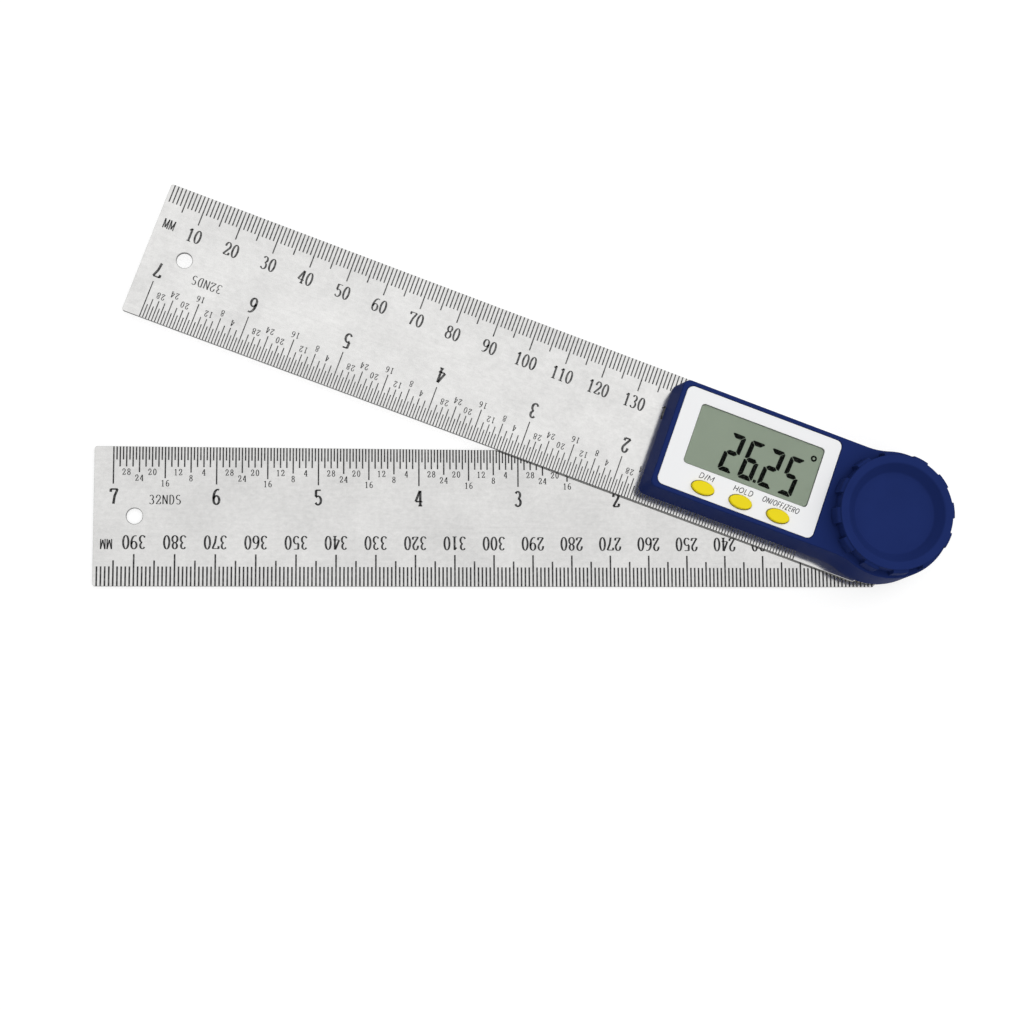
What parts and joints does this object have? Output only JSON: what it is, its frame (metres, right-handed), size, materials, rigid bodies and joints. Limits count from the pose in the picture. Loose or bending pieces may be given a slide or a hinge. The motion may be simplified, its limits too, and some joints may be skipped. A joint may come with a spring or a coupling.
{
  "type": "digital angle finder",
  "caption": "Two steel rule arms joined at a locking pivot, with a digital display housing, keys and a lobed clamping knob on the upper arm.",
  "frame": {"origin": "on the pivot axis, at the underside of the base arm", "axes": "+Z along the pivot axis towards the knob; the base arm lies along -X; the display arm is swung 20 degrees away from it towards +Y"},
  "size_m": [0.2169, 0.1022, 0.02],
  "materials": {
    "brushed_steel": "satin stainless with fine lengthwise scratches, etched black graduations",
    "bright_steel": "machined or plated steel",
    "brass": "turned brass",
    "blue_plastic": "navy blue moulded plastic, satin",
    "white_print": "satin white printed panel",
    "clear_plastic": "clear window",
    "lcd": "grey-green reflective liquid crystal display",
    "yellow_key": "yellow moulded key, satin",
    "black_plastic": "black moulded plastic",
    "slip_white": "white slip plastic",
    "circuit_green": "green circuit board",
    "grey_rubber": "conductive rubber strip"
  },
  "bodies": {
    "base_arm": {"base_rule": "brushed_steel", "pivot_hub": "bright_steel", "glide_washer": "slip_white", "encoder_rotor": "circuit_green", "rotor_clip": "bright_steel"},
    "lock_knob": {"lock_knob": "blue_plastic", "knob_insert": "brass"},
    "display_arm": {"display_rule": "brushed_steel", "pivot_bush": "brass", "housing_shell": "blue_plastic", "face_panel": "white_print", "window_lens": "clear_plastic", "lcd_glass": "lcd", "lcd_frame": "black_plastic", "zebra_strip": "grey_rubber", "circuit_board": "circuit_green", "controller_chip": "black_plastic", "pressure_washer": "bright_steel", "battery_holder": "black_plastic", "coin_cell": "bright_steel", "contact_negative": "bright_steel", "contact_positive": "bright_steel", "housing_screw_1": "bright_steel", "housing_screw_2": "bright_steel", "housing_screw_3": "bright_steel", "housing_screw_4": "bright_steel", "board_screw_1": "bright_steel", "board_screw_2": "bright_steel", "switch_mode": "black_plastic", "switch_hold": "black_plastic", "switch_power": "black_plastic"},
    "button_mode": {"button_mode": "yellow_key"},
    "button_hold": {"button_hold": "yellow_key"},
    "button_power": {"button_power": "yellow_key"},
    "battery_cap": {"battery_cap": "black_plastic"}
  },
  "joints": [
    {"name": "arm_hinge", "type": "hinge", "parent": "base_arm", "child": "display_arm", "pos_m": [0, 0, 0.0015], "axis": [0, 0, -1], "continuous": true},
    {"name": "lock_knob_turn", "type": "hinge", "parent": "base_arm", "child": "lock_knob", "pos_m": [0, 0, 0.016], "axis": [0, 0, 1], "range_deg": [0, 180]},
    {"name": "button_mode_press", "type": "slide", "parent": "display_arm", "child": "button_mode", "axis": [0, 0, -1], "range_m": [0, 0.0004], "stiffness_N_per_m": 600},
    {"name": "button_hold_press", "type": "slide", "parent": "display_arm", "child": "button_hold", "axis": [0, 0, -1], "range_m": [0, 0.0004], "stiffness_N_per_m": 600},
    {"name": "button_power_press", "type": "slide", "parent": "display_arm", "child": "button_power", "axis": [0, 0, -1], "range_m": [0, 0.0004], "stiffness_N_per_m": 600},
    {"name": "battery_cap_turn", "type": "hinge", "parent": "display_arm", "child": "battery_cap", "pos_m": [-0.03618, 0.01317, 0.0015], "axis": [0, 0, -1], "range_deg": [0, 45]}
  ]
}
